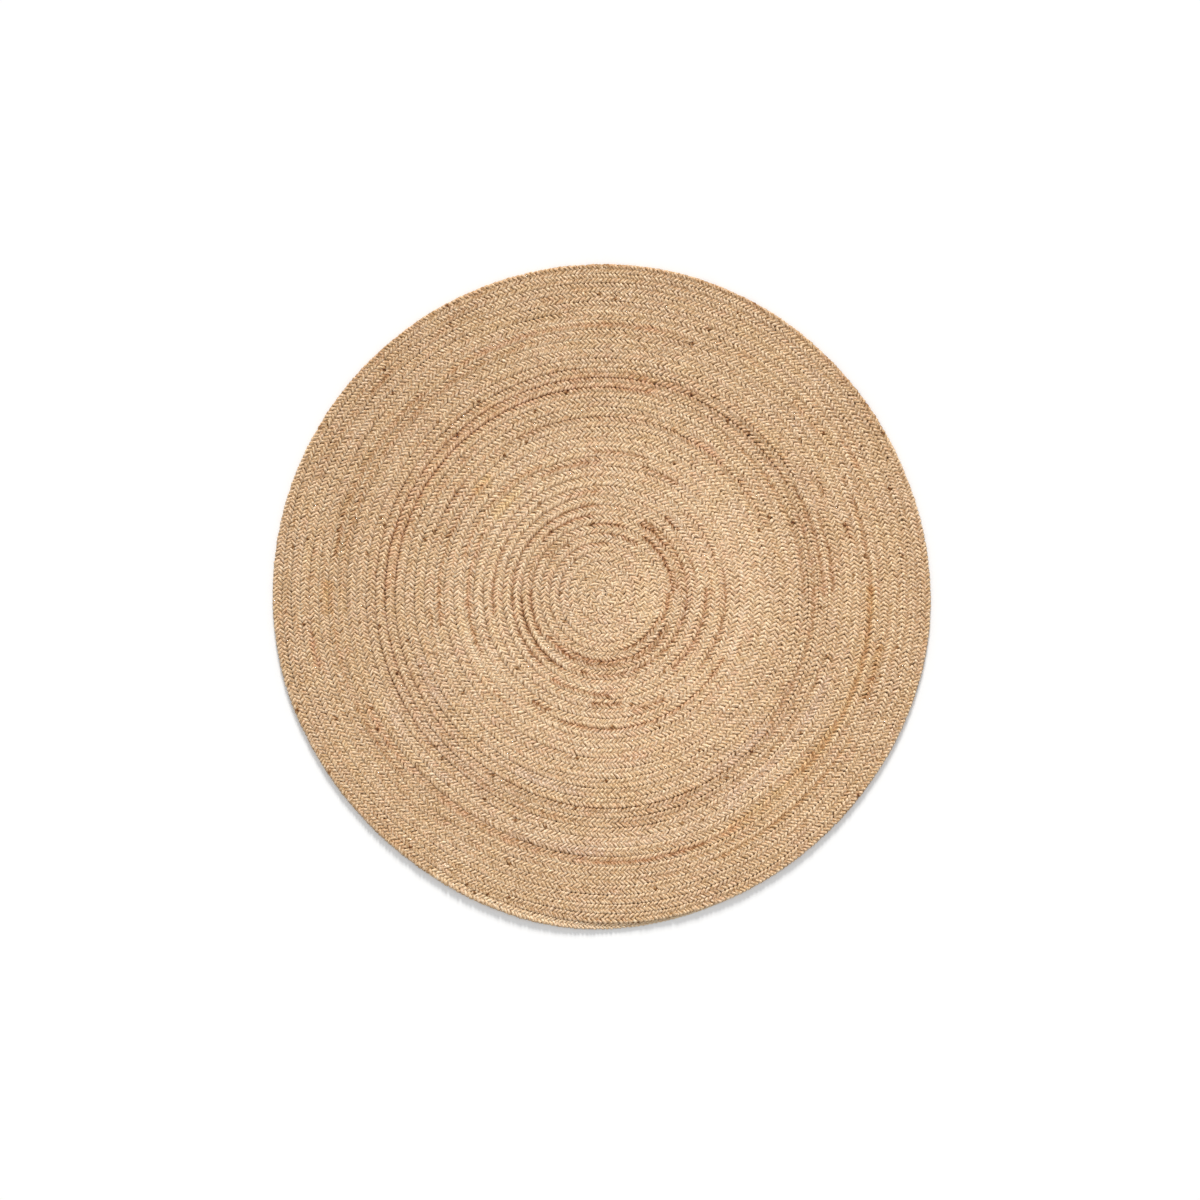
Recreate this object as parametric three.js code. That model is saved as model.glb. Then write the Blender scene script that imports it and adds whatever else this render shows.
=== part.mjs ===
// Round braided hemp rug, lying flat on the floor plane z = 0. Millimetres, +Z up.
// Seen from above, +X is right and +Y is up. One long flat braid of three hemp strands is coiled
// counter-clockwise from the eye in the middle and sewn edge to edge, so the rug is one piece.
// Each round of the braid stands up as a ridge, with a groove on either side where it is sewn.
// The braid's end thins out along the rim and is sewn down, so the outline closes on itself.
import * as THREE from "three";
import { ParametricGeometry } from "three/addons/geometries/ParametricGeometry.js";
import { mergeGeometries, mergeVertices } from "three/addons/utils/BufferGeometryUtils.js";

// The rug and its braid
const RUG_DIAMETER = 1500;
const ROUNDS = 35.3;
const BRAID_THICKNESS = 10;
const GROOVE_DEPTH = 3.2;
const CROWN_UNEVENNESS = 0.6;

// How far the braid is pulled in halfway out: the first and last rounds are narrower than the middle ones
const PULL_IN = 5;

// The eye of the coil, seen from the middle of the rug's outline
const EYE = { x: 6.3, y: 4.4 };

// Where the braid ends at the rim, and the angle over which it thins to nothing, in degrees
const END_ANGLE = 298;
const END_TAPER = 48;

// The rim is widest halfway up, its foot is tucked in, and it starts where the end lies on it
const RIM_HEIGHT = 4.6;
const RIM_TUCK = 2.5;
const RIM_START_STEPS = 2;

// Unevenness of the outline, which fades towards the eye: a row for each wave, with the times it
// goes round, how far it moves the rim in and out, and the direction of its first crest in degrees
const RIM_WAVES = [
  { lobes: 2, height: 5.4, crest: 115.5 },
  { lobes: 3, height: 1.8, crest: 47 },
  { lobes: 4, height: 2.8, crest: 0 },
  { lobes: 5, height: 1.6, crest: 60 },
];

// Section across one round of the braid: a row for each line that runs along it, with its place
// across the width and how far up it lies between the groove and the crown
const SECTION = [
  { across: 0, rise: 0 },
  { across: 0.2, rise: 1 },
  { across: 0.8, rise: 1 },
  { across: 1, rise: 0 },
];

// Straight steps in each round
const STEPS_PER_ROUND = 48;

// Worked out from the sizes above
const MEAN_RADIUS = RUG_DIAMETER / 2;
const BRAID_WIDTH = MEAN_RADIUS / (ROUNDS - 0.5);
const STEPS = Math.round(ROUNDS * STEPS_PER_ROUND);
const RIM_START = STEPS - STEPS_PER_ROUND;
const GROOVE_HEIGHT = BRAID_THICKNESS - GROOVE_DEPTH;
const { clamp, degToRad, lerp, smoothstep } = THREE.MathUtils;

// Angle from +X of a step along the coil
function angleAt(step) {
  return degToRad(END_ANGLE + (360 * (step - STEPS)) / STEPS_PER_ROUND);
}

// Distance from the eye to the outer groove of the braid at a step
function grooveRadius(step) {
  const rounds = Math.max(step, 0) / STEPS_PER_ROUND;
  return BRAID_WIDTH * rounds - PULL_IN * Math.sin((2 * Math.PI * rounds) / ROUNDS);
}

// How much of the braid is left at a step: all of it, until it thins out at its end
function braidLeft(step) {
  const taperSteps = (END_TAPER / 360) * STEPS_PER_ROUND;
  return 1 - smoothstep(step, STEPS - taperSteps, STEPS);
}

// Distance from the eye to the outer edge of the braid at a step, its thinned end included
function edgeRadius(step) {
  return lerp(grooveRadius(step - STEPS_PER_ROUND), grooveRadius(step), braidLeft(step));
}

// Height of the outer edge: a groove between two rounds, or the rim's widest line in the last one
function edgeHeight(step) {
  const start = clamp((step - RIM_START) / RIM_START_STEPS, 0, 1);
  return lerp(GROOVE_HEIGHT, RIM_HEIGHT, start * Math.sqrt(braidLeft(step)));
}

// Height of the braid's crown, a little higher or lower as it goes round
function crownHeight(step) {
  const sway = (1 + Math.sin(3 * angleAt(step) + step / STEPS_PER_ROUND)) / 2;
  const crown = BRAID_THICKNESS - CROWN_UNEVENNESS * sway;
  return lerp(GROOVE_HEIGHT, crown, Math.sqrt(braidLeft(step)));
}

// Puts a point at a radius and angle around the eye, moved by the waves of the outline
function place(target, radius, angle, height) {
  const fade = (radius / MEAN_RADIUS) ** 2;
  let reach = radius;
  for (const wave of RIM_WAVES) {
    reach += fade * wave.height * Math.cos(wave.lobes * (angle - degToRad(wave.crest)));
  }
  target.set(EYE.x + reach * Math.cos(angle), EYE.y + reach * Math.sin(angle), height);
}

// The top: u goes across the braid from its inner to its outer edge, v along the whole coil
function coilTop(u, v, target) {
  const step = Math.round(v * STEPS);
  const line = SECTION[Math.round(u * (SECTION.length - 1))];
  const radius = lerp(grooveRadius(step - STEPS_PER_ROUND), edgeRadius(step), line.across);
  const foot = lerp(GROOVE_HEIGHT, edgeHeight(step), line.across);
  place(target, radius, angleAt(step), lerp(foot, crownHeight(step), line.rise));
}

// The rim and the flat underside: u goes from the rim's widest line to its foot and to the eye,
// v once round along the last round of the braid
function rimAndUnderside(u, v, target) {
  const step = RIM_START + Math.round(v * STEPS_PER_ROUND);
  const angle = angleAt(step);
  if (u === 0) {
    place(target, edgeRadius(step), angle, edgeHeight(step));
  } else if (u < 1) {
    place(target, edgeRadius(step) - RIM_TUCK, angle, 0);
  } else {
    place(target, 0, angle, 0);
  }
}

// Joins surfaces along their shared edges into one closed body, without the slivers where
// a strip shrinks to a point, and sets its smooth normals
function closedBody(surfaces) {
  const bare = surfaces.map((surface) => surface.deleteAttribute("normal").deleteAttribute("uv"));
  const body = mergeVertices(mergeGeometries(bare), 1e-3);
  const corners = [];
  for (let first = 0; first < body.index.count; first += 3) {
    const [a, b, c] = [0, 1, 2].map((corner) => body.index.getX(first + corner));
    if (a !== b && b !== c && c !== a) {
      corners.push(a, b, c);
    }
  }
  body.setIndex(corners);
  body.computeVertexNormals();
  return body;
}

// Moves a body so that the middle of its outline, seen from above, is at the origin
function centreOutline(body) {
  body.computeBoundingBox();
  const middle = body.boundingBox.getCenter(new THREE.Vector3());
  body.translate(-middle.x, -middle.y, 0);
  return body;
}

// The coiled braid, in dry straw-coloured hemp
function makeCoil() {
  const top = new ParametricGeometry(coilTop, SECTION.length - 1, STEPS);
  const below = new ParametricGeometry(rimAndUnderside, 2, STEPS_PER_ROUND);
  const hemp = new THREE.MeshStandardMaterial({ color: 0xcba985, roughness: 0.95, metalness: 0 });
  const coil = new THREE.Mesh(centreOutline(closedBody([top, below])), hemp);
  coil.name = "coiled_braid";
  return coil;
}

const rug = new THREE.Group();
rug.add(makeCoil());

export default rug;
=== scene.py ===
# %% [markdown]
# # A round braided hemp rug
# The real rug is one long flat braid of three hemp strands. It is coiled on a table from an eye
# in the middle, sewn edge to edge, and its thinned end is sewn down along the rim.
# So the picture needs no carpet texture. It needs the braid itself, laid in the same coil as the
# maker's, with every strand uneven in width and colour as dry hemp is.
# All sizes are metres. The rug lies on the plane z = 0, and it is seen from straight above.

# %% Load the frame
import math

import bpy
import numpy as np
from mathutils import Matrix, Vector


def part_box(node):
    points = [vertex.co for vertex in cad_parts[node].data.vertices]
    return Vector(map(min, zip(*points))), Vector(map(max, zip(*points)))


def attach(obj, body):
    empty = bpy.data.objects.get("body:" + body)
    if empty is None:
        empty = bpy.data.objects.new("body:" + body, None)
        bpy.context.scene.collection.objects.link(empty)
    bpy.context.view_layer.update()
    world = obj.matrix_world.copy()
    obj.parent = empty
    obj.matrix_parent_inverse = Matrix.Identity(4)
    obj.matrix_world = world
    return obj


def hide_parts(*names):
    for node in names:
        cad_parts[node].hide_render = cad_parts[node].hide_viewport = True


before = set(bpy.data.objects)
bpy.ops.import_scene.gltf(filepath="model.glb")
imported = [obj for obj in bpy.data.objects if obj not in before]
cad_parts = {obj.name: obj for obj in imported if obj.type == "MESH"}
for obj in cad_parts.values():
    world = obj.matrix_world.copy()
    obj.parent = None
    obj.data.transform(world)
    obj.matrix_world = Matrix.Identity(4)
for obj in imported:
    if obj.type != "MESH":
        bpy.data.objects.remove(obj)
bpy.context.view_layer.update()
RUG_NODE = "coiled_braid"
rug_low, rug_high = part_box(RUG_NODE)
rug_middle = (Vector(rug_low) + Vector(rug_high)) / 2
RUG_THICKNESS = rug_high[2] - rug_low[2]
print("rug box", tuple(rug_low), tuple(rug_high))

# %% [markdown]
# ## The camera
# The photograph looks straight down from far away, so the camera hangs over the rug with a long
# lens. It is made first, because everything else is judged through it.
# The rug's middle lies a few pixels off the picture's middle, which sets where the camera hangs.

# %% Camera
PICTURE_SIDE = 1200
RUG_MIDDLE_IN_PICTURE = (601.7, 596.7)
METRES_PER_PIXEL = 0.0022755
FARTHEST_IN_VIEW = 100.0

# Lens and sensor, in millimetres
LENS = 85.0
SENSOR = 36.0

picture_width = PICTURE_SIDE * METRES_PER_PIXEL
camera_height = rug_high[2] + picture_width / 2 * LENS / (SENSOR / 2)
off_x = (RUG_MIDDLE_IN_PICTURE[0] - PICTURE_SIDE / 2) * METRES_PER_PIXEL
off_y = (PICTURE_SIDE / 2 - RUG_MIDDLE_IN_PICTURE[1]) * METRES_PER_PIXEL
camera_place = (rug_middle.x - off_x, rug_middle.y - off_y, camera_height)
bpy.ops.object.camera_add(location=camera_place, rotation=(0.0, 0.0, 0.0))
camera = bpy.context.object
camera.name = "camera_above"
camera.data.lens = LENS
camera.data.sensor_width = SENSOR
camera.data.clip_end = FARTHEST_IN_VIEW
bpy.context.scene.camera = camera
print("camera hangs at", camera_place)

# %% [markdown]
# ## The line of the coil
# A braid that is coiled and sewn follows a spiral: each round lies one braid's width outside the
# last one. The spiral could be drawn as a curve by hand, but 35 rounds need a formula.
# These are the same few sizes as the solid model's, in metres: the number of rounds, the eye's
# place, how far the braid is pulled in halfway out, where it ends and over which angle it thins
# out, and the slow waves of the outline.

# %% Sizes of the coil
ROUNDS = 35.3
MEAN_RADIUS = 0.75
BRAID_WIDTH = MEAN_RADIUS / (ROUNDS - 0.5)
PULL_IN = 0.005
EYE = (0.0063, 0.0044)
END_ANGLE = 298.0
END_TAPER = 48.0

# Waves of the outline: times round, height, direction of the first crest in degrees
RIM_WAVES = [
    (2, 0.0054, 115.5),
    (3, 0.0018, 47.0),
    (4, 0.0028, 0.0),
    (5, 0.0016, 60.0),
]
print("the braid is", round(BRAID_WIDTH, 4), "m wide")


# %% Rounds of the coil
def coil_angle(rounds):
    """Angle from +X, in radians, at which the coil's line is after a number of rounds."""
    return np.radians(END_ANGLE + 360.0 * (rounds - ROUNDS))


def groove_radius(rounds):
    """Distance from the eye to the outer groove of the braid."""
    wound = np.maximum(rounds, 0.0)
    return BRAID_WIDTH * wound - PULL_IN * np.sin(2 * np.pi * wound / ROUNDS)


def braid_left(rounds):
    """How much of the braid's width is left: all of it, until it thins out at its end."""
    share = np.clip((rounds - ROUNDS) / (END_TAPER / 360.0) + 1.0, 0.0, 1.0)
    return 1.0 - share * share * (3.0 - 2.0 * share)


def edge_radius(rounds):
    """Distance from the eye to the braid's outer edge, its thinned end included."""
    inner = groove_radius(rounds - 1.0)
    return inner + (groove_radius(rounds) - inner) * braid_left(rounds)


print("the last groove lies", groove_radius(ROUNDS), "m from the eye")

# %% Outline
RIM_POINTS = 721


def place(radius, angle):
    """Points at a radius and angle around the eye, moved by the waves of the outline."""
    reach = np.array(radius, dtype=float)
    for lobes, height, crest in RIM_WAVES:
        wave = height * np.cos(lobes * (angle - np.radians(crest)))
        reach = reach + wave * (radius / MEAN_RADIUS) ** 2
    return EYE[0] + reach * np.cos(angle), EYE[1] + reach * np.sin(angle)


# The outline's middle goes to the middle of the solid's box
last_round = np.linspace(ROUNDS - 1.0, ROUNDS, RIM_POINTS)
rim_x, rim_y = place(edge_radius(last_round), coil_angle(last_round))
rug_width = rim_x.max() - rim_x.min()
rug_depth = rim_y.max() - rim_y.min()
shift_x = rug_middle.x - (rim_x.max() + rim_x.min()) / 2
shift_y = rug_middle.y - (rim_y.max() + rim_y.min()) / 2
print("outline", rug_width, rug_depth)

# %% [markdown]
# ## The braid's middle line
# The strands are laid along the middle of the braid. Its length is measured here, point by point,
# because a strand crosses the others at even steps of length, not of angle.

# %% Middle line of the braid
LINE_POINTS = 120000

line_rounds = np.linspace(0.0, ROUNDS, LINE_POINTS)
line_inner = groove_radius(line_rounds - 1.0)
line_outer = edge_radius(line_rounds)
line_x, line_y = place((line_inner + line_outer) / 2, coil_angle(line_rounds))
line_x = line_x + shift_x
line_y = line_y + shift_y
line_width = line_outer - line_inner
line_steps = np.hypot(np.diff(line_x), np.diff(line_y))
line_length = np.concatenate([[0.0], np.cumsum(line_steps)])
braid_length = line_length[-1]
print("the braid is", round(braid_length, 2), "m long")

# %% [markdown]
# ## The flat braid of three
# In a flat braid each strand swings from edge to edge, and it passes over its neighbour on the
# way out and under it on the way in. Seen from above that leaves two columns of slanting arms,
# a herringbone. A short table says where a strand is on its way from the middle line out to the
# edge and back beneath: the arm on top is straight and takes two thirds of the way, and the
# part beneath is steep. The other half of a repeat is the same to the other side, and the three
# strands are the same line, a third of a repeat apart.
# The arms reach past the edge before they dive, where the next round's arms do so too. So the
# seam between two rounds looks like the middle line of the braid, as it does on the rug.

# %% Sizes of the braid
REPEAT_LENGTH = 0.0285
STRAND_WIDTH = 0.0088
STRAND_THICKNESS = 0.0060
STRANDS = ("a", "b", "c")
EDGE_OVERLAP = 0.0036

# How far the flat underside of a strand lies below its middle
UNDERSIDE = 0.25 * STRAND_THICKNESS

# How far a strand swings from the braid's middle line, sideways and up and down
SWING = BRAID_WIDTH / 2 - STRAND_WIDTH / 2 + EDGE_OVERLAP
RISE = (RUG_THICKNESS - STRAND_THICKNESS / 2 - UNDERSIDE) / 2

# Way of a strand over half a repeat: share of the way, sideways, height
HALF_REPEAT = [
    (0.00, 0.00, 0.70),
    (0.23, 0.33, 0.85),
    (0.46, 0.66, 1.00),
    (0.70, 0.99, 0.75),
    (0.87, 0.74, -0.90),
    (1.00, 0.00, 0.70),
]

# Share of the way at which the arm in sight has its middle
ARM_MIDDLE = 0.38


def way_of_strand(halves):
    """Sideways place and height of a strand, from -1 to 1, at a number of half repeats."""
    share, sideways, height = zip(*HALF_REPEAT)
    whole = np.floor(halves)
    to_side = np.where(whole % 2 == 0, 1.0, -1.0)
    left = halves - whole
    return to_side * np.interp(left, share, sideways), np.interp(left, share, height)


repeats = int(round(braid_length / REPEAT_LENGTH))
inner_repeats = repeats // 2
print(repeats, "repeats of the braid,", 2 * len(STRANDS) * repeats, "arms in sight")

# %% [markdown]
# ## Unevenness by hand
# No two arms of a hand-made braid are alike. Each arm gets its own width, reach, height and
# place. The whole braid wanders a little, and it is pulled tighter in some stretches than in
# others. The draws are seeded, so the rug is the same each time.

# %% Seeded unevenness
SEED = 4711
ARM_WIDTH_SPREAD = 0.07
ARM_REACH_SPREAD = 0.05
ARM_RISE_SPREAD = 0.0003
ARM_SHIFT_SPREAD = 0.0009
WANDER_SPREAD = 0.0004
WANDER_EVERY = 3.5
TIGHTNESS_SPREAD = 0.35
TIGHTNESS_EVERY = 5.0

# The arms of a strand are numbered from a little before the braid's start to a little past its end
FIRST_ARM = -2
ARMS_PAST_END = 5

draws = np.random.default_rng(SEED)
arm_numbers = np.arange(FIRST_ARM, 2 * repeats + ARMS_PAST_END)


def uneven(count, spread):
    """Even-handed draws around zero, with no outliers beyond two spreads."""
    return np.clip(draws.normal(0.0, spread, count), -2 * spread, 2 * spread)


arm_width = {s: 1.0 + uneven(len(arm_numbers), ARM_WIDTH_SPREAD) for s in STRANDS}
arm_reach = {s: 1.0 + uneven(len(arm_numbers), ARM_REACH_SPREAD) for s in STRANDS}
arm_rise = {s: uneven(len(arm_numbers), ARM_RISE_SPREAD) for s in STRANDS}
arm_shift = {s: uneven(len(arm_numbers), ARM_SHIFT_SPREAD) for s in STRANDS}
wander_knots = np.arange(-WANDER_EVERY, repeats + 2 * WANDER_EVERY, WANDER_EVERY)
wander = uneven(len(wander_knots), WANDER_SPREAD)
tight_knots = np.arange(TIGHTNESS_EVERY, repeats - TIGHTNESS_EVERY, TIGHTNESS_EVERY)
tight = uneven(len(tight_knots), TIGHTNESS_SPREAD)
tight_knots = np.concatenate([[0.0], tight_knots, [repeats]])
tight = np.concatenate([[0.0], tight, [0.0]])
print(len(arm_numbers), "arms are drawn for each strand")

# %% [markdown]
# ## One repeat of a strand
# The strand is modelled once, straight, over one repeat: a ring of five points is drawn out ring
# by ring, with a ring wherever the strand's way bends. An array copies the repeat along the
# strand, its ends are closed, and only then is the long straight strand laid into the braid.
# Five sides are enough for a strand 9 mm wide that is repeated some thousand times. Three of the
# points form the crown, which smooth shading rounds, and two form the foot it is pressed flat on.

# %% Straight strand
SIDES = 5
RING_RADIUS = 0.5
RING_PLACES = [share for share, sideways, height in HALF_REPEAT]
RING_STEPS = 2 * [float(step) * REPEAT_LENGTH / 2 for step in np.diff(RING_PLACES)]

# How the ring's corners are scaled, across and upwards: the two shoulders of the crown, and the
# two of the foot, which comes to the strand's full width and down to its underside
SHOULDER = (0.72, 2.00)
FOOT = (1.701, 0.618)
OFF_MIDDLE = 0.1
STRAND_AXIS = {"center_override": (0.0, 0.0, 0.0)}


def squeeze_ring(strand, chosen, across, upward):
    """Scales the chosen points of a ring around its middle."""
    bpy.ops.mesh.select_all(action="DESELECT")
    bpy.ops.object.mode_set(mode="OBJECT")
    for vertex in strand.data.vertices:
        vertex.select = chosen(vertex.co)
    bpy.ops.object.mode_set(mode="EDIT")
    bpy.ops.transform.resize(value=(1.0, across, upward), **STRAND_AXIS)


def straight_repeat(name):
    """One repeat of a straight strand along +X, open at both ends."""
    bpy.ops.object.select_all(action="DESELECT")
    upright = (math.pi / 2, 0.0, math.pi / 2)
    bpy.ops.mesh.primitive_circle_add(vertices=SIDES, radius=RING_RADIUS, rotation=upright)
    strand = bpy.context.object
    strand.name = name
    bpy.ops.object.transform_apply(location=True, rotation=True, scale=True)
    bpy.ops.object.mode_set(mode="EDIT")
    squeeze_ring(strand, lambda co: abs(co.y) > OFF_MIDDLE and co.z > 0.0, *SHOULDER)
    squeeze_ring(strand, lambda co: abs(co.y) > OFF_MIDDLE and co.z < 0.0, *FOOT)
    bpy.ops.mesh.select_all(action="SELECT")
    bpy.ops.transform.resize(value=(1.0, STRAND_WIDTH, STRAND_THICKNESS), **STRAND_AXIS)
    for step in RING_STEPS:
        move = {"value": (step, 0.0, 0.0)}
        bpy.ops.mesh.extrude_region_move(TRANSFORM_OT_translate=move)
    bpy.ops.object.mode_set(mode="OBJECT")
    return strand


print("one repeat has", len(RING_STEPS), "steps of", SIDES, "faces")

# %% Long strand
MERGE_DISTANCE = 0.00001


def long_strand(name, count):
    """A straight strand of a number of repeats, closed at both ends, with faces outwards."""
    strand = straight_repeat(name)
    array = strand.modifiers.new("repeats", "ARRAY")
    array.count = count
    array.use_relative_offset = True
    array.relative_offset_displace = (1.0, 0.0, 0.0)
    array.use_merge_vertices = True
    array.merge_threshold = MERGE_DISTANCE
    bpy.ops.object.modifier_apply(modifier=array.name)
    bpy.ops.object.mode_set(mode="EDIT")
    bpy.ops.mesh.select_mode(type="VERT")
    for end in (0.0, count * REPEAT_LENGTH):
        bpy.ops.mesh.select_all(action="DESELECT")
        bpy.ops.object.mode_set(mode="OBJECT")
        for vertex in strand.data.vertices:
            vertex.select = abs(vertex.co.x - end) < RING_STEPS[0] / 4
        bpy.ops.object.mode_set(mode="EDIT")
        bpy.ops.mesh.edge_face_add()
    bpy.ops.mesh.select_all(action="SELECT")
    bpy.ops.mesh.normals_make_consistent(inside=False)
    bpy.ops.object.mode_set(mode="OBJECT")
    bpy.ops.object.shade_smooth()
    return strand


print("copies of the repeat are merged within", MERGE_DISTANCE, "m")

# %% [markdown]
# ## Laying a strand
# The straight strand is laid by moving its points: a point's place along the strand says where
# on the coil it goes, and its place in the ring says how far it stands off the strand's line.
# The ring stays upright and turns with the strand, so the broad side is always on top.

# %% Where a strand runs
# Fullness is the braid's width next to its usual width, kept within these limits
FULLNESS_LEAST = 0.30
FULLNESS_MOST = 1.15

# In the first round the strands keep at least this much of their height
FULLNESS_OF_HEIGHT_AT_EYE = 0.85

# Direction of the middle line
line_tx = np.gradient(line_x, line_length)
line_ty = np.gradient(line_y, line_length)


def along_line(values, length):
    """A value of the braid's middle line at a length along it."""
    return np.interp(length, line_length, values)


def length_at(at):
    """Length along the braid at a number of repeats, which are braided tighter and looser."""
    return (at + np.interp(at, tight_knots, tight)) / repeats * braid_length


def half_repeats(strand, at):
    """How many half repeats a strand has done at a number of repeats of the braid."""
    return 2.0 * (at + STRANDS.index(strand) / len(STRANDS))


def arm_number(strand, at):
    """Which arm of a strand lies at a number of repeats, a whole number being its middle."""
    return half_repeats(strand, at) - ARM_MIDDLE


def strand_line(strand, at):
    """Middle line of a strand at a number of repeats, its fullness there and that of its height."""
    arm = arm_number(strand, at)
    sideways, lift = way_of_strand(half_repeats(strand, at))
    length = length_at(at) + np.interp(arm, arm_numbers, arm_shift[strand])
    width = along_line(line_width, length)
    full = np.clip(width / BRAID_WIDTH, FULLNESS_LEAST, FULLNESS_MOST)
    reach = SWING * width / BRAID_WIDTH * np.interp(arm, arm_numbers, arm_reach[strand])
    sway = reach * sideways + np.interp(at, wander_knots, wander)
    x = along_line(line_x, length) + sway * along_line(line_ty, length)
    y = along_line(line_y, length) - sway * along_line(line_tx, length)
    at_eye = along_line(line_rounds, length) < 1.0
    height = np.where(at_eye, np.maximum(full, FULLNESS_OF_HEIGHT_AT_EYE), np.minimum(full, 1.0))
    z = height * (UNDERSIDE + RISE + RISE * lift)
    z = z + height * np.interp(arm, arm_numbers, arm_rise[strand])
    return np.stack([x, y, z], axis=1), full, height


print("the strands swing", SWING, "m to either side")

# %% Laying the points of a strand
TURN_STEP = 0.01


def unit(vectors):
    """Vectors of length one."""
    return vectors / np.linalg.norm(vectors, axis=1, keepdims=True)


def read_points(mesh):
    """A mesh's points as rows of three numbers."""
    flat = np.empty(3 * len(mesh.vertices))
    mesh.vertices.foreach_get("co", flat)
    return flat.reshape(-1, 3)


def first_bend(strand):
    """Repeats after which a strand joins the braid, so that its rings lie where it bends."""
    return (-STRANDS.index(strand) % len(STRANDS)) / len(STRANDS)


def lay_strand(piece, strand, first_repeat):
    """Moves the points of a long straight strand to their places in the braid."""
    straight = read_points(piece.data)
    at = first_repeat + first_bend(strand) + straight[:, 0] / REPEAT_LENGTH
    middle, full, height = strand_line(strand, at)
    ahead = strand_line(strand, at + TURN_STEP)[0] - strand_line(strand, at - TURN_STEP)[0]
    forward = unit(ahead)
    side = unit(np.stack([-forward[:, 1], forward[:, 0], np.zeros(len(at))], axis=1))
    up = np.cross(forward, side)
    broad = np.interp(arm_number(strand, at), arm_numbers, arm_width[strand]) * full
    laid = middle + straight[:, 1:2] * broad[:, None] * side
    laid = laid + straight[:, 2:3] * height[:, None] * up
    laid[:, 2] = np.maximum(laid[:, 2], rug_low[2])
    piece.data.vertices.foreach_set("co", laid.ravel())
    piece.data.update()
    return straight, at


print("the strands join in after", [first_bend(strand) for strand in STRANDS], "repeats")

# %% [markdown]
# ## Colours of the hemp
# Hemp is retted in the field, so one bundle is pale straw and the next brown. A rug maker adds
# new bundles as the old ones run out, so the colour drifts along the braid. It could be painted
# by hand, but on a braid of 80 m draws do it better: some change slowly along the braid, and
# others from one tuft of fibres to the next.

# %% Drift along the braid
# How many repeats a tone takes to change, and how much it does
BRAID_EVERY = 16.0
BRAID_TONE_SPREAD = 0.003
TUFT_EVERY = 1.5
RUST_SPREAD = 0.12
GOLD_SPREAD = 0.12


def stretches(every, spread):
    """Knots and draws for a tone that changes slowly, every so many repeats."""
    knots = np.arange(-2 * every, repeats + 3 * every, every)
    return knots, uneven(len(knots), spread)


braid_tone = stretches(BRAID_EVERY, BRAID_TONE_SPREAD)
braid_rust = stretches(TUFT_EVERY, RUST_SPREAD)
braid_gold = stretches(TUFT_EVERY, GOLD_SPREAD)
print(len(braid_rust[0]), "draws from tuft to tuft")

# %% [markdown]
# ## Seams
# The seams get a little painted shade and are rustier than the braid from about 0.1 to 0.3 m from
# the eye. Further out they get painted light and are lighter than the braid, because the grooves
# between the modelled strands are deep and gather more shade than the rug's own.

# %% Seams
# How much painted shade the seams get by their distance from the eye, and painted light where it is
# below 0
SEAM_SHADE_TONES = [
    (0.00, 0.00), (0.10, 0.02), (0.16, 0.04), (0.26, 0.04), (0.31, -0.01), (0.44, -0.05),
    (0.47, -0.03), (0.53, -0.03), (0.57, -0.10), (0.76, -0.10),
]
SEAM_BREADTH = 0.0035
SEAM_SPREAD = 0.03
SEAM_EVERY = 0.11
SEAM_RUST = 4.0

seam_knots = np.arange(0.0, braid_length + SEAM_EVERY, SEAM_EVERY)
seam_tone = uneven(len(seam_knots), SEAM_SPREAD)


def seam_painted_shade(length, rounds, aside):
    """Painted shade a point gets from the seam next to it, painted light where below 0; aside is
    its place across.
    """
    outwards = aside > 0
    seam_rounds = np.where(outwards, rounds, rounds - 1.0)
    seam_length = np.interp(seam_rounds, line_rounds, line_length)
    usual = np.interp(groove_radius(seam_rounds), *zip(*SEAM_SHADE_TONES))
    gap = along_line(line_width, length) / 2 - np.abs(aside)
    near = np.exp(-(gap / SEAM_BREADTH) ** 2)
    return near * (usual + np.interp(seam_length, seam_knots, seam_tone))


print(len(seam_knots), "draws along the seams")

# %% [markdown]
# ## Single arms
# Every arm shows another tuft of fibres, a little lighter or darker, rustier or more golden. A
# few have a fleck of woody stem, which is nearly black. Each arm also takes its own share of a
# dark streak, because only some arms in a row have much of the brown bundle. So a streak is a
# thin line of specks.

# %% Tones of single arms
ARM_TONE_SPREAD = 0.006
ARM_RUST_SPREAD = 0.24
STRAND_TONE_SPREAD = 0.004
STRAND_EVERY = 30.0
STREAK_UNEVENNESS = (0.3, 1.7)
FLECK_SHARE = 0.006


def tones_of_arms(strand):
    """How light, rusty and golden a strand's arms are, their shares of a streak and flecks."""
    count = len(arm_numbers)
    at = (arm_numbers + ARM_MIDDLE) / 2 - STRANDS.index(strand) / len(STRANDS)
    light = uneven(count, ARM_TONE_SPREAD) + np.interp(at, *braid_tone)
    light = light + np.interp(at, *stretches(STRAND_EVERY, STRAND_TONE_SPREAD))
    rust = uneven(count, ARM_RUST_SPREAD) + np.interp(at, *braid_rust)
    gold = uneven(count, GOLD_SPREAD) + np.interp(at, *braid_gold)
    share = draws.uniform(*STREAK_UNEVENNESS, count)
    fleck = draws.random(count) < FLECK_SHARE
    return light, rust, gold, share, fleck


ARM_TONES = {strand: tones_of_arms(strand) for strand in STRANDS}
print(sum(tones[-1].sum() for tones in ARM_TONES.values()), "flecks of woody stem")
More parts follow.
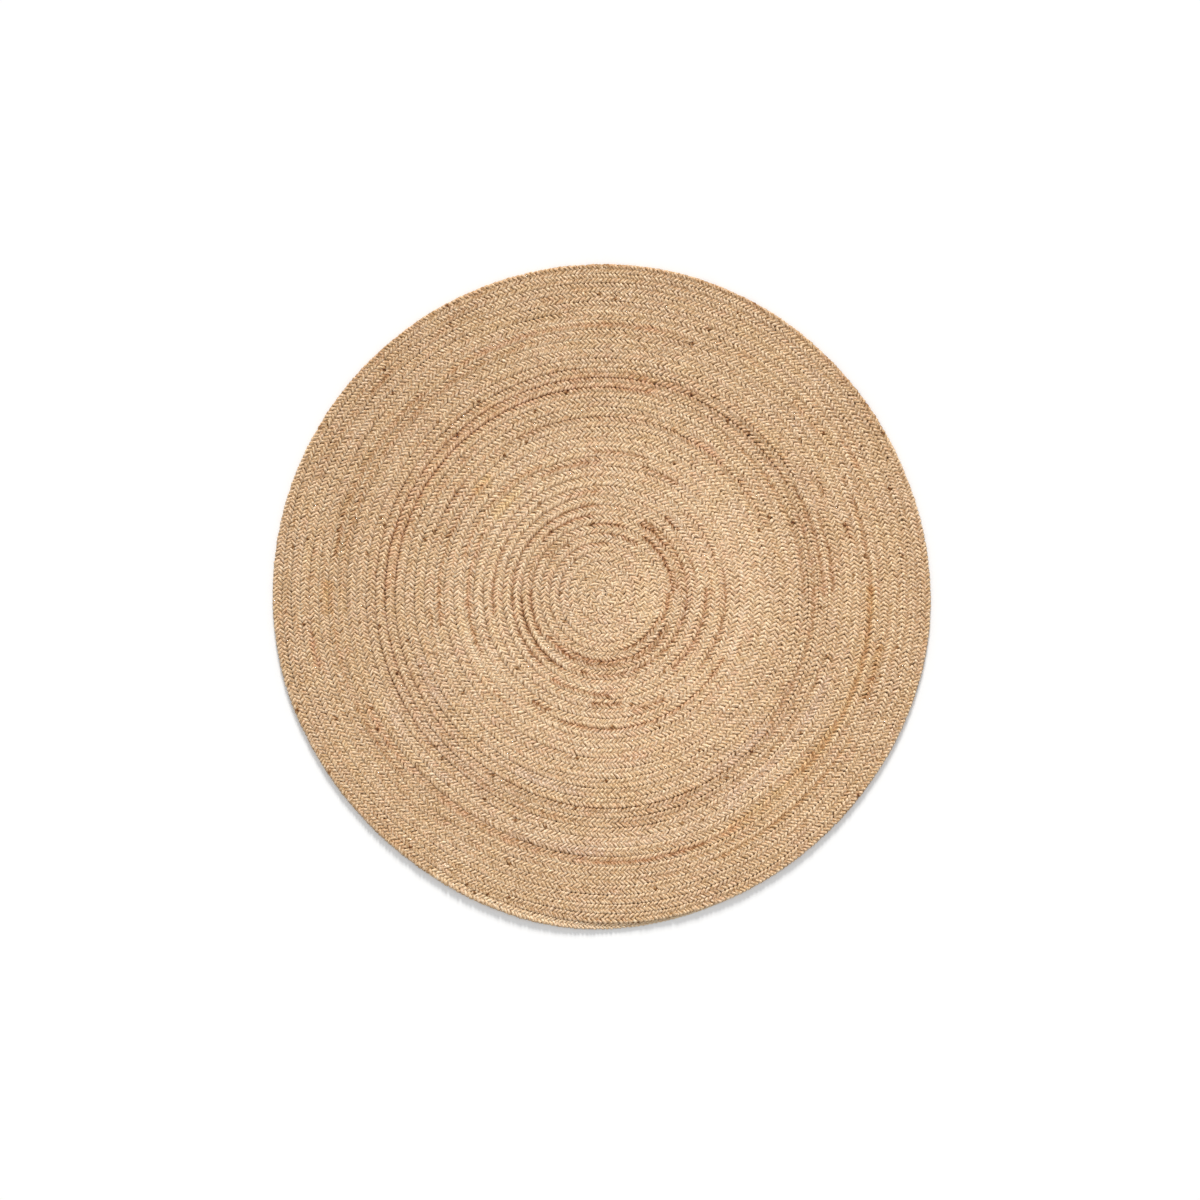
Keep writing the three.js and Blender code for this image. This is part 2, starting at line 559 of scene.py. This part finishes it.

# %% [markdown]
# ## Rounds and streaks
# Where another bundle was braided in, a streak follows the coil for a part of a round. The main
# ones were charted from the photograph, by distance from the eye and angle. Each one lies in the
# nearest dip, which is a seam or the braid's middle line, because that is where the lines show on
# the rug. The rounds are also a little lighter near the eye than at the rim.
# Two rows along the rim are not streaks but painted shade on the top rim, where its side faces the
# light, and painted light on the lower rim, which lies in shade.

# %% Chart of the rounds and streaks
# How light the rounds are by their distance from the eye, in metres, 0 being the rug's mean
ROUND_TONES = [
    (0.000, 0.110), (0.030, 0.045), (0.070, 0.045), (0.110, 0.045), (0.150, 0.030),
    (0.200, 0.055), (0.290, 0.050), (0.350, 0.030), (0.400, 0.000), (0.460, 0.000),
    (0.500, -0.005), (0.540, -0.010), (0.560, -0.010), (0.590, -0.035), (0.660, -0.030),
    (0.700, -0.030), (0.730, -0.045), (0.760, -0.055),
]

# Streaks: distance from the eye, first and last angle in degrees, half the breadth in metres,
# how much lighter, or darker where it is below 0, how rusty, and how golden, or mauve below 0
STREAKS = [
    (0.115, 88, 97, 0.004, -0.16, 0.4, 0.0),
    (0.130, 290, 338, 0.004, -0.20, 0.3, 0.0),
    (0.137, 57, 72, 0.004, -0.14, 0.4, 0.0),
    (0.143, 70, 96, 0.004, -0.13, 0.3, 0.0),
    (0.148, 335, 362, 0.004, -0.24, 0.4, 0.2),
    (0.149, 130, 147, 0.004, -0.15, 0.1, 0.0),
    (0.150, 275, 335, 0.004, -0.22, 0.3, 0.0),
    (0.151, 243, 275, 0.004, -0.21, 0.5, 0.0),
    (0.154, 0, 30, 0.004, -0.24, 0.5, 0.0),
    (0.155, 30, 58, 0.004, -0.25, 0.5, 0.0),
    (0.154, 216, 243, 0.004, -0.20, 0.5, 0.0),
    (0.161, 71, 100, 0.004, -0.15, 0.5, 0.0),
    (0.164, 176, 213, 0.005, -0.13, 0.6, 0.0),
    (0.166, 225, 290, 0.004, -0.18, 0.0, -0.2),
    (0.168, 4, 20, 0.004, -0.16, 0.5, 0.0),
    (0.168, 290, 335, 0.004, -0.15, 0.2, 0.0),
    (0.172, 138, 180, 0.004, -0.11, 0.1, 0.0),
    (0.176, 38, 64, 0.004, -0.20, 0.3, 0.0),
    (0.180, 100, 122, 0.004, -0.10, 0.6, 0.0),
    (0.187, 243, 300, 0.004, -0.21, 0.2, 0.0),
    (0.188, 123, 138, 0.004, -0.15, 0.1, 0.0),
    (0.189, 218, 243, 0.004, -0.26, 0.0, 0.0),
    (0.189, 300, 364, 0.004, -0.23, 0.2, 0.0),
    (0.190, 4, 30, 0.004, -0.20, 0.2, 0.0),
    (0.192, 180, 218, 0.004, -0.22, 0.1, 0.0),
    (0.195, 30, 62, 0.004, -0.18, 0.1, 0.0),
    (0.206, 95, 180, 0.004, -0.14, 0.2, 0.0),
    (0.210, 5, 40, 0.004, -0.12, 0.3, 0.0),
    (0.212, 181, 228, 0.004, -0.14, 0.4, 0.0),
    (0.218, 41, 52, 0.004, -0.26, 0.1, 0.0),
    (0.227, 238, 272, 0.004, -0.22, 0.3, 0.0),
    (0.232, 312, 364, 0.004, -0.24, 0.4, 0.0),
    (0.242, 90, 112, 0.004, -0.12, 0.5, 0.0),
    (0.248, 263, 280, 0.004, -0.24, 0.2, 0.0),
    (0.252, 150, 190, 0.004, -0.08, 0.4, 0.0),
    (0.270, 284, 300, 0.004, -0.20, 0.2, 0.0),
    (0.270, 320, 373, 0.004, -0.19, 0.1, 0.0),
    (0.288, 236, 245, 0.004, -0.22, 0.2, 0.0),
    (0.300, 56, 74, 0.004, -0.20, 0.3, 0.0),
    (0.304, 92, 118, 0.004, -0.18, 0.3, 0.0),
    (0.310, 150, 206, 0.004, -0.20, 0.2, 0.0),
    (0.309, 250, 332, 0.004, -0.18, 0.4, 0.0),
    (0.322, 72, 94, 0.004, -0.15, 0.3, 0.0),
    (0.327, 115, 165, 0.004, -0.15, 0.3, 0.1),
    (0.331, 221, 227, 0.004, -0.18, 0.2, 0.0),
    (0.370, 137, 191, 0.004, -0.18, 0.2, 0.0),
    (0.403, 184, 194, 0.005, -0.12, 0.2, 0.0),
    (0.410, 23, 162, 0.005, -0.08, 0.3, 0.0),
    (0.440, 133, 151, 0.005, -0.08, 0.2, 0.0),
    (0.474, 77, 140, 0.004, -0.08, 0.6, 0.0),
    (0.479, 140, 172, 0.004, -0.08, 0.5, 0.0),
    (0.480, 172, 222, 0.004, -0.10, 0.2, 0.0),
    (0.478, 222, 288, 0.003, -0.08, 0.2, 0.0),
    (0.483, 288, 322, 0.0035, -0.13, 0.0, 0.0),
    (0.479, 322, 390, 0.004, -0.12, 0.2, 0.0),
    (0.485, 30, 66, 0.005, -0.10, 0.2, 0.0),
    (0.494, 66, 103, 0.004, -0.09, 0.5, 0.0),
    (0.497, 103, 160, 0.005, -0.07, 0.4, 0.0),
    (0.499, 160, 212, 0.004, -0.08, 0.6, 0.0),
    (0.499, 240, 296, 0.003, -0.06, 0.0, 0.0),
    (0.501, 300, 341, 0.003, -0.08, 0.0, 0.0),
    (0.508, 30, 62, 0.004, -0.13, 0.0, 0.0),
    (0.511, 62, 97, 0.005, -0.06, 0.1, 0.0),
    (0.518, 97, 160, 0.005, -0.08, 0.3, 0.0),
    (0.519, 160, 222, 0.0035, -0.07, 0.3, 0.0),
    (0.517, 222, 264, 0.0035, -0.09, 0.1, 0.0),
    (0.522, 272, 345, 0.0035, -0.09, 0.0, 0.0),
    (0.455, 0, 58, 0.005, -0.10, 0.1, 0.0),
    (0.503, 0, 30, 0.005, -0.14, 0.1, 0.0),
    (0.525, 0, 22, 0.004, -0.17, 0.0, 0.0),
    (0.557, 24, 30, 0.005, -0.16, 0.2, 0.0),
    (0.578, 13, 17, 0.005, -0.20, 0.8, 0.0),
    (0.583, 222, 254, 0.005, -0.09, 0.1, -0.2),
    (0.594, 108, 176, 0.005, -0.07, 0.2, 0.0),
    (0.596, 252, 276, 0.004, -0.11, 0.1, -0.1),
    (0.599, 298, 330, 0.004, -0.06, 0.2, 0.5),
    (0.601, 70, 78, 0.005, -0.09, 0.0, -0.3),
    (0.609, 268, 292, 0.004, -0.13, 0.4, 0.1),
    (0.605, 318, 362, 0.006, -0.06, 0.3, 0.6),
    (0.610, 0, 22, 0.005, -0.06, 0.4, 0.1),
    (0.613, 132, 165, 0.005, -0.08, 0.2, 0.0),
    (0.613, 203, 222, 0.004, -0.09, 0.3, 0.0),
    (0.616, 165, 173, 0.004, -0.20, 0.1, 0.0),
    (0.617, 187, 200, 0.005, -0.07, 0.3, 0.0),
    (0.627, 230, 236, 0.005, -0.08, 0.2, 0.0),
    (0.633, 148, 164, 0.005, -0.08, 0.0, 0.3),
    (0.645, 292, 330, 0.004, -0.08, 0.3, 0.6),
    (0.639, 338, 350, 0.007, -0.13, 0.6, 0.7),
    (0.645, 98, 106, 0.005, -0.07, 0.0, 0.2),
    (0.674, 168, 195, 0.004, -0.08, 0.4, 0.1),
    (0.697, 133, 139, 0.005, -0.10, 0.2, 0.0),
    (0.700, 113, 158, 0.024, -0.03, 0.0, 0.0),
    # Painted shade on the outer edge of the top rim, whose side faces the light
    (0.752, 30, 150, 0.005, -0.12, 0.0, 0.0),
    (0.178, 207, 288, 0.003, 0.08, 0.0, 0.0),
    (0.211, 236, 270, 0.006, 0.07, 0.0, 0.0),
    (0.300, 212, 221, 0.004, 0.12, 0.0, 0.0),
    (0.316, 235, 250, 0.004, 0.08, 0.0, 0.0),
    (0.323, 193, 212, 0.004, 0.10, 0.0, 0.0),
    (0.323, 335, 355, 0.004, 0.10, 0.0, 0.0),
    (0.410, 216, 315, 0.003, 0.08, 0.0, 0.0),
    (0.450, 243, 256, 0.004, 0.08, 0.0, 0.0),
    (0.531, 285, 330, 0.004, 0.05, 0.0, 0.0),
    (0.472, 30, 62, 0.003, 0.06, 0.0, 0.0),
    (0.510, 0, 60, 0.003, 0.06, 0.0, 0.0),
    (0.562, 205, 317, 0.009, 0.04, 0.0, -0.2),
    (0.683, 158, 252, 0.020, 0.02, 0.0, 0.0),
    # Painted light on the lower rim, which faces away from the light and lies in shade
    (0.760, 238, 312, 0.007, 0.18, 0.0, 0.0),
    (0.497, 205, 330, 0.011, -0.01, 0.0, -0.2),
    (0.168, 40, 60, 0.004, 0.00, 0.5, 0.0),
    (0.305, 128, 145, 0.012, 0.00, -0.2, 0.8),
    (0.373, 134, 142, 0.010, 0.00, 0.2, 0.8),
    (0.370, 267, 285, 0.008, 0.00, 0.5, 0.0),
    (0.400, 48, 62, 0.012, 0.00, 0.6, 0.0),
    (0.440, 200, 216, 0.010, 0.00, 0.0, -0.6),
    (0.445, 243, 262, 0.010, 0.00, -0.5, -0.6),
    (0.470, 298, 322, 0.014, 0.00, 0.0, -0.5),
    (0.487, 75, 182, 0.016, 0.00, 0.4, 0.1),
    (0.505, 205, 240, 0.016, 0.00, 0.0, -0.4),
    (0.545, 300, 340, 0.010, 0.00, 0.0, -0.6),
    (0.580, 248, 270, 0.010, 0.00, 0.0, -0.6),
    (0.602, 205, 300, 0.008, 0.00, 0.6, 0.1),
    (0.610, 296, 362, 0.014, 0.00, 0.2, 0.4),
    (0.614, 33, 46, 0.006, -0.03, 0.6, 0.5),
    (0.620, 77, 126, 0.006, -0.03, 0.7, 0.1),
    (0.626, 177, 184, 0.012, -0.04, 0.6, 0.9),
    (0.645, 26, 34, 0.006, -0.02, 0.5, 0.2),
    (0.674, 187, 194, 0.006, -0.02, 0.9, 0.1),
]
print(len(STREAKS), "streaks")

# %% Streaks at a point
STREAK_RUST = 3.0


def without_waves(reach, angle):
    """Distance from the eye before the waves of the outline moved a point."""
    plain = reach
    for lobes, height, crest in RIM_WAVES:
        wave = height * math.cos(lobes * (angle - math.radians(crest)))
        plain = plain - wave * (reach / MEAN_RADIUS) ** 2
    return plain


def nearest_dip(reach, degrees):
    """Rounds after which the seam or the braid's middle line passes nearest to a place."""
    half_rounds = np.arange(1, 2 * ROUNDS) / 2
    rounds = ROUNDS + (degrees - END_ANGLE) / 360.0 - np.floor(ROUNDS) + half_rounds
    gap = np.abs(groove_radius(rounds) - without_waves(reach, math.radians(degrees)))
    return rounds[np.argmin(gap)]


def streaks_at(radius, degrees, share):
    """How much lighter, darker, rustier and more golden the streaks make points of the coil."""
    light, dark, rust, gold = np.zeros((4, len(radius)))
    for reach, first, last, breadth, lighter, rusty, golden in STREAKS:
        halfway = (first + last) / 2
        turned = np.mod(degrees - first, 360.0)
        line = groove_radius(nearest_dip(reach, halfway) + (turned + first - halfway) / 360.0)
        near = np.exp(-((radius - line) / breadth) ** 2) * (turned < last - first)
        light += near * max(lighter, 0.0)
        dark += near * share * max(-lighter, 0.0)
        rust += near * (rusty + STREAK_RUST * max(-lighter, 0.0))
        gold += near * golden
    return light, dark, rust, gold


print("the first streak lies", nearest_dip(*STREAKS[0][:2]), "rounds out")

# %% [markdown]
# ## What the material reads
# Each point of a strand is given its lightness, how much of a dark streak it has, how near the
# strand's side it lies, its tint towards rust, gold or mauve, and its place on the straight
# strand, which the fibres follow. They slant across it, because a strand is twisted a little.

# %% Write the tones
FLECK_LENGTH = 0.12
FLECK_DARKNESS = 0.60
RUST_TINT = (1.00, 0.87, 0.85)
GOLD_TINT = (0.99, 0.95, 0.78)
MAUVE_TINT = (0.97, 0.97, 1.12)
TINT_MOST = 1.6
FIBRE_SLANT = 0.30


def tint(amount, colour):
    """Colour factors for an amount of a tint, from none to all of it and more."""
    return 1.0 + np.clip(amount, 0.0, TINT_MOST)[:, None] * (np.array(colour) - 1.0)


def place_across(piece, length):
    """How far the points lie outwards from the middle line of the braid."""
    laid = read_points(piece.data)
    off_x = laid[:, 0] - along_line(line_x, length)
    off_y = laid[:, 1] - along_line(line_y, length)
    return off_x * along_line(line_ty, length) - off_y * along_line(line_tx, length)


def store(piece, name, kind, field, values):
    """Stores numbers or vectors on a piece's points, under the name that the material reads."""
    layer = piece.data.attributes.new(name, kind, "POINT")
    layer.data.foreach_set(field, values.astype(np.float32).ravel())


def write_tones(piece, strand, straight, at):
    """Stores a strand's tones and its place on the straight strand for the material."""
    arm = np.floor(arm_number(strand, at) + 0.5).astype(int)
    row = np.clip(arm - FIRST_ARM, 0, len(arm_numbers) - 1)
    light, rust, gold, share, fleck = [values[row] for values in ARM_TONES[strand]]
    length = length_at(at)
    rounds = along_line(line_rounds, length)
    aside = place_across(piece, length)
    radius = (groove_radius(rounds) + groove_radius(rounds - 1.0)) / 2 + aside
    streaks = streaks_at(radius, np.degrees(coil_angle(rounds)), share)
    streak_light, streak_dark, streak_rust, streak_gold = streaks
    # Painted shade along the seams, and painted light further out where it is below 0
    seam = seam_painted_shade(length, rounds, aside)
    light = light + np.interp(radius, *zip(*ROUND_TONES)) + streak_light - seam
    from_middle = arm_number(strand, at) - arm_numbers[row]
    flecked = fleck * np.exp(-(from_middle / FLECK_LENGTH) ** 2)
    store(piece, "lightness", "FLOAT", "value", light - FLECK_DARKNESS * flecked)
    store(piece, "streak", "FLOAT", "value", streak_dark)
    # How near a strand's side a point lies, where the material paints shade
    store(piece, "tuck", "FLOAT", "value", np.abs(straight[:, 1]) * 2 / STRAND_WIDTH)

    # The seams' painted shade is rustier, and their painted light less rusty
    rust = rust + streak_rust + SEAM_RUST * seam
    gold = gold + streak_gold
    tints = tint(rust, RUST_TINT) * tint(gold, GOLD_TINT) * tint(-gold, MAUVE_TINT)
    store(piece, "tint", "FLOAT_VECTOR", "vector", tints)
    along = STRANDS.index(strand) * braid_length + at * REPEAT_LENGTH
    across = straight[:, 1] + FIBRE_SLANT * along
    fibre = np.stack([along, across, straight[:, 2]], axis=1)
    store(piece, "fibre", "FLOAT_VECTOR", "vector", fibre)


print("fibres slant by", round(math.degrees(math.atan(FIBRE_SLANT))), "degrees")

# %% [markdown]
# ## Fibres
# Noise that is stretched twenty times along the strand looks like fine fibres. It reads the
# straight strand's coordinates, so it follows every bend of the braid. Noise that isn't
# stretched gives the tufts, and noise in between gives the specks of the dark streaks.
# The fibres are a node group, because the colour, the roughness and the bump all use them.

# %% Fibre group
# How much of its scale a kind of fibre keeps along the strand, and its scale across, per metre
FIBRE_SIZES = {"Fine": (0.05, 1500.0), "Coarse": (1.00, 217.0), "Speckle": (0.5, 260.0)}
NOISE_DETAIL = 2.0
NOISE_ROUGHNESS = 0.6
NOISE_LOW = 0.3
NOISE_HIGH = 0.7

# Height of the fine fibres next to that of the tufts
FINE_HEIGHT = 0.4


def fill(tree, node, values):
    """Gives a node's inputs a socket to read or a value to hold, and returns its output."""
    for socket, value in zip(node.inputs, values):
        if isinstance(value, bpy.types.NodeSocket):
            tree.links.new(value, socket)
        else:
            socket.default_value = value
    return node.outputs[0]


def math_node(tree, operation, *values, clamp=False):
    """Math node whose inputs are sockets or numbers."""
    node = tree.nodes.new("ShaderNodeMath")
    node.operation = operation
    node.use_clamp = clamp
    return fill(tree, node, values)


def product(tree, *vectors):
    """Two vectors or colours, multiplied part by part."""
    node = tree.nodes.new("ShaderNodeVectorMath")
    node.operation = "MULTIPLY"
    return fill(tree, node, vectors)


def fibre_mask(group, strand, fineness, along, scale):
    """Mask from 0 to 1 of one kind of fibre."""
    noise = group.nodes.new("ShaderNodeTexNoise")
    noise.noise_dimensions = "2D"
    noise.inputs["Detail"].default_value = NOISE_DETAIL
    noise.inputs["Roughness"].default_value = NOISE_ROUGHNESS
    group.links.new(product(group, strand, (along, 1.0, 1.0)), noise.inputs["Vector"])
    group.links.new(math_node(group, "MULTIPLY", fineness, scale), noise.inputs["Scale"])
    spread = group.nodes.new("ShaderNodeMapRange")
    spread.inputs["From Min"].default_value = NOISE_LOW
    spread.inputs["From Max"].default_value = NOISE_HIGH
    group.links.new(noise.outputs["Fac"], spread.inputs["Value"])
    return spread.outputs[0]


def fibre_group():
    """Node group that puts out each kind of fibre as a mask, and the fibres' height."""
    group = bpy.data.node_groups.new("hemp_fibres", "ShaderNodeTree")
    sockets = group.interface
    sockets.new_socket(name="Strand", in_out="INPUT", socket_type="NodeSocketVector")
    fineness = sockets.new_socket(name="Fineness", in_out="INPUT", socket_type="NodeSocketFloat")
    fineness.default_value = 1.0
    for name in (*FIBRE_SIZES, "Height"):
        sockets.new_socket(name=name, in_out="OUTPUT", socket_type="NodeSocketFloat")
    ends_in = group.nodes.new("NodeGroupInput").outputs
    ends_out = group.nodes.new("NodeGroupOutput").inputs
    masks = {}
    for name, (along, scale) in FIBRE_SIZES.items():
        masks[name] = fibre_mask(group, ends_in["Strand"], ends_in["Fineness"], along, scale)
        group.links.new(masks[name], ends_out[name])
    height = math_node(group, "MULTIPLY_ADD", masks["Fine"], FINE_HEIGHT, masks["Coarse"])
    group.links.new(height, ends_out["Height"])
    return group


FIBRES = fibre_group()
print("fibre group has", len(FIBRES.nodes), "nodes")

# %% [markdown]
# ## Hemp as a material
# The colour starts from how light a point is and runs through a ramp from umber over tan to cream.
# On the photograph green always lies about 35 steps below red and blue 70, for the dark arms and
# the light ones alike, so the dark end of the ramp is the more coloured one. The sides of a strand
# are darker: painted shade, with some dust, where the strands tuck under each other. Dry hemp is
# matt, so it stays rough.

# %% Colours of dry hemp
# Position on the ramp, and red, green and blue in steps of the picture, 0 to 255
HEMP_COLOURS = [
    (0.00, 60, 14, 1),
    (0.20, 104, 60, 18),
    (0.40, 149, 111, 69),
    (0.60, 189, 157, 120),
    (0.80, 222, 194, 161),
    (1.00, 240, 215, 186),
]
BRIGHTENING = 1.30
BRIGHTEST = 0.97


def linear(step):
    """Linear light of a colour step of the picture, brightened to make up for shading."""
    share = step / 255
    light = share / 12.92 if share <= 0.04045 else ((share + 0.055) / 1.055) ** 2.4
    return min(light * BRIGHTENING, BRIGHTEST)


print("palest hemp", [linear(step) for step in HEMP_COLOURS[-1][1:]])

# %% Hemp material
MEAN_LIGHTNESS = 0.660
COARSE_CONTRAST = 0.36
FINE_CONTRAST = 0.25
STREAK_CONTRAST = 2.0
TUCK_SHADE_AND_DUST = 0.08
ROUGHNESS = 0.92
TUFT_SMOOTHNESS = 0.15
BUMP_DEPTH = 0.0010
BUMP_STRENGTH = 0.8

# Middle of a mask and of the ramp, which both run from 0 to 1
MIDDLE = 0.5


def attribute(tree, name):
    """Outputs of a node that reads one of the numbers stored on the strands."""
    node = tree.nodes.new("ShaderNodeAttribute")
    node.attribute_name = name
    return node.outputs


def hemp_lightness(tree, fibres):
    """How light the hemp is: its stored lightness with tufts, fibres, specks, and painted shade and
    dust on the sides.
    """
    light = math_node(tree, "ADD", attribute(tree, "lightness")["Fac"], MEAN_LIGHTNESS)
    for mask, contrast in (("Coarse", COARSE_CONTRAST), ("Fine", FINE_CONTRAST)):
        off_middle = math_node(tree, "SUBTRACT", fibres[mask], MIDDLE)
        light = math_node(tree, "MULTIPLY_ADD", off_middle, contrast, light)
    streak = math_node(tree, "MULTIPLY", attribute(tree, "streak")["Fac"], -STREAK_CONTRAST)
    light = math_node(tree, "MULTIPLY_ADD", streak, fibres["Speckle"], light)
    # Painted shade, with some dust, on the sides of the strand where it tucks under the others
    tuck = attribute(tree, "tuck")["Fac"]
    return math_node(tree, "MULTIPLY_ADD", tuck, -TUCK_SHADE_AND_DUST, light, clamp=True)


def hemp_colour(tree, light):
    """Umber to cream by lightness, with the stored tint."""
    ramp = tree.nodes.new("ShaderNodeValToRGB")
    colours = ramp.color_ramp.elements
    while len(colours) < len(HEMP_COLOURS):
        colours.new(MIDDLE)
    for element, (position, *steps) in zip(colours, HEMP_COLOURS):
        element.position = position
        element.color = (*[linear(step) for step in steps], 1.0)
    tree.links.new(light, ramp.inputs[0])
    return product(tree, ramp.outputs["Color"], attribute(tree, "tint")["Vector"])


def hemp_material():
    """Dry hemp: matt, coloured by its lightness and tint, with its fibres raised a little."""
    material = bpy.data.materials.new("dry_hemp")
    material.use_nodes = True
    tree = material.node_tree
    shader = tree.nodes["Principled BSDF"].inputs
    group = tree.nodes.new("ShaderNodeGroup")
    group.node_tree = FIBRES
    tree.links.new(attribute(tree, "fibre")["Vector"], group.inputs["Strand"])
    fibres = group.outputs

    colour = hemp_colour(tree, hemp_lightness(tree, fibres))
    tree.links.new(colour, shader["Base Color"])
    rough = math_node(tree, "MULTIPLY_ADD", fibres["Coarse"], -TUFT_SMOOTHNESS, ROUGHNESS)
    tree.links.new(rough, shader["Roughness"])
    bump = tree.nodes.new("ShaderNodeBump")
    bump.inputs["Distance"].default_value = BUMP_DEPTH
    bump.inputs["Strength"].default_value = BUMP_STRENGTH
    tree.links.new(fibres["Height"], bump.inputs["Height"])
    tree.links.new(bump.outputs["Normal"], shader["Normal"])
    return material


HEMP = hemp_material()
print("hemp material has", len(HEMP.node_tree.nodes), "nodes")

# %% [markdown]
# ## The whole rug
# Each strand would be one piece of nearly 290,000 triangles, which is heavy to handle. So the
# braid is made in two lengths, the inner rounds and the outer rounds, of about the same area.
# Where one ends the other goes on in the same place.

# %% Make the strands
LENGTHS = {"inner": (0, inner_repeats), "outer": (inner_repeats, repeats - inner_repeats)}
for length_name, (first_repeat, count) in LENGTHS.items():
    for strand in STRANDS:
        # A strand that joins in late would run past the end, so it gets one repeat less
        late = length_name == "outer" and first_bend(strand) > 0
        piece = long_strand(f"strand_{strand}_{length_name}", count - late)
        straight, at = lay_strand(piece, strand, first_repeat)
        write_tones(piece, strand, straight, at)
        piece.data.materials.append(HEMP)
        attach(piece, "root")
        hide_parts(RUG_NODE)
        # A face makes two triangles fewer than it has corners
        triangles = len(piece.data.loops) - 2 * len(piece.data.polygons)
        print(piece.name, triangles, "triangles")

# %% [markdown]
# ## The rug's flat size
# A rug is a sheet that lies flat. Its flat size is the size of each length of rounds: the inner
# one is a disc, and the outer one is the ring around it, up to the rim.

half_area = math.pi / 4 * rug_width * rug_depth / 2
inner_side = math.sqrt(half_area * 4 / math.pi)
flat_sizes = {"inner": (inner_side, inner_side), "outer": (rug_width, rug_depth)}
for length_name, flat in flat_sizes.items():
    print(length_name, "flat size", flat, "area", half_area)

# %% [markdown]
# ## Floor and light
# The floor is plain and nearly white. One broad light comes from the top of the picture. It
# stands low, so the rug's lower rim casts a shadow as long as the photograph's, and its breadth
# makes the shadow's edge soft. Light from all sides keeps the shadow pale.

# %% Floor
FLOOR_SIDE = 60.0
FLOOR_GAP = 0.0003
FLOOR_COLOUR = (0.98, 0.98, 0.98, 1.0)
FLOOR_ROUGHNESS = 0.9

bpy.ops.object.select_all(action="DESELECT")
floor_place = (0.0, 0.0, rug_low[2] - FLOOR_GAP)
bpy.ops.mesh.primitive_plane_add(size=FLOOR_SIDE, location=floor_place)
floor = bpy.context.object
floor.name = "studio_floor"
floor_material = bpy.data.materials.new("floor_white")
floor_material.use_nodes = True
floor_shader = floor_material.node_tree.nodes["Principled BSDF"]
floor_shader.inputs["Base Color"].default_value = FLOOR_COLOUR
floor_shader.inputs["Roughness"].default_value = FLOOR_ROUGHNESS
floor.data.materials.append(floor_material)
print("floor lies at", floor_place)

# %% Lights
SUN_ELEVATION = 20.0
SUN_DIRECTION = 90.0
SUN_DISTANCE = 5.0
SUN_SOFTNESS = 12.0
SUN_STRENGTH = 3.75
SUN_COLOUR = (1.0, 0.985, 0.96)
SKY_STRENGTH = 0.64
SKY_COLOUR = (0.99, 0.995, 1.0, 1.0)

sun_turn = math.radians(SUN_DIRECTION)
sun_height = math.radians(SUN_ELEVATION)
towards_sun = Vector((
    math.cos(sun_turn) * math.cos(sun_height),
    math.sin(sun_turn) * math.cos(sun_height),
    math.sin(sun_height),
))
bpy.ops.object.light_add(type="SUN", location=towards_sun * SUN_DISTANCE)
sun = bpy.context.object
sun.name = "window_light"
sun.rotation_euler = towards_sun.to_track_quat("Z", "Y").to_euler()
sun.data.energy = SUN_STRENGTH
sun.data.angle = math.radians(SUN_SOFTNESS)
sun.data.color = SUN_COLOUR

world = bpy.data.worlds.new("studio")
bpy.context.scene.world = world
world.use_nodes = True
sky = world.node_tree.nodes["Background"]
sky.inputs["Color"].default_value = SKY_COLOUR
sky.inputs["Strength"].default_value = SKY_STRENGTH
bpy.context.scene.view_settings.view_transform = "Standard"
print("the light comes from", tuple(towards_sun))
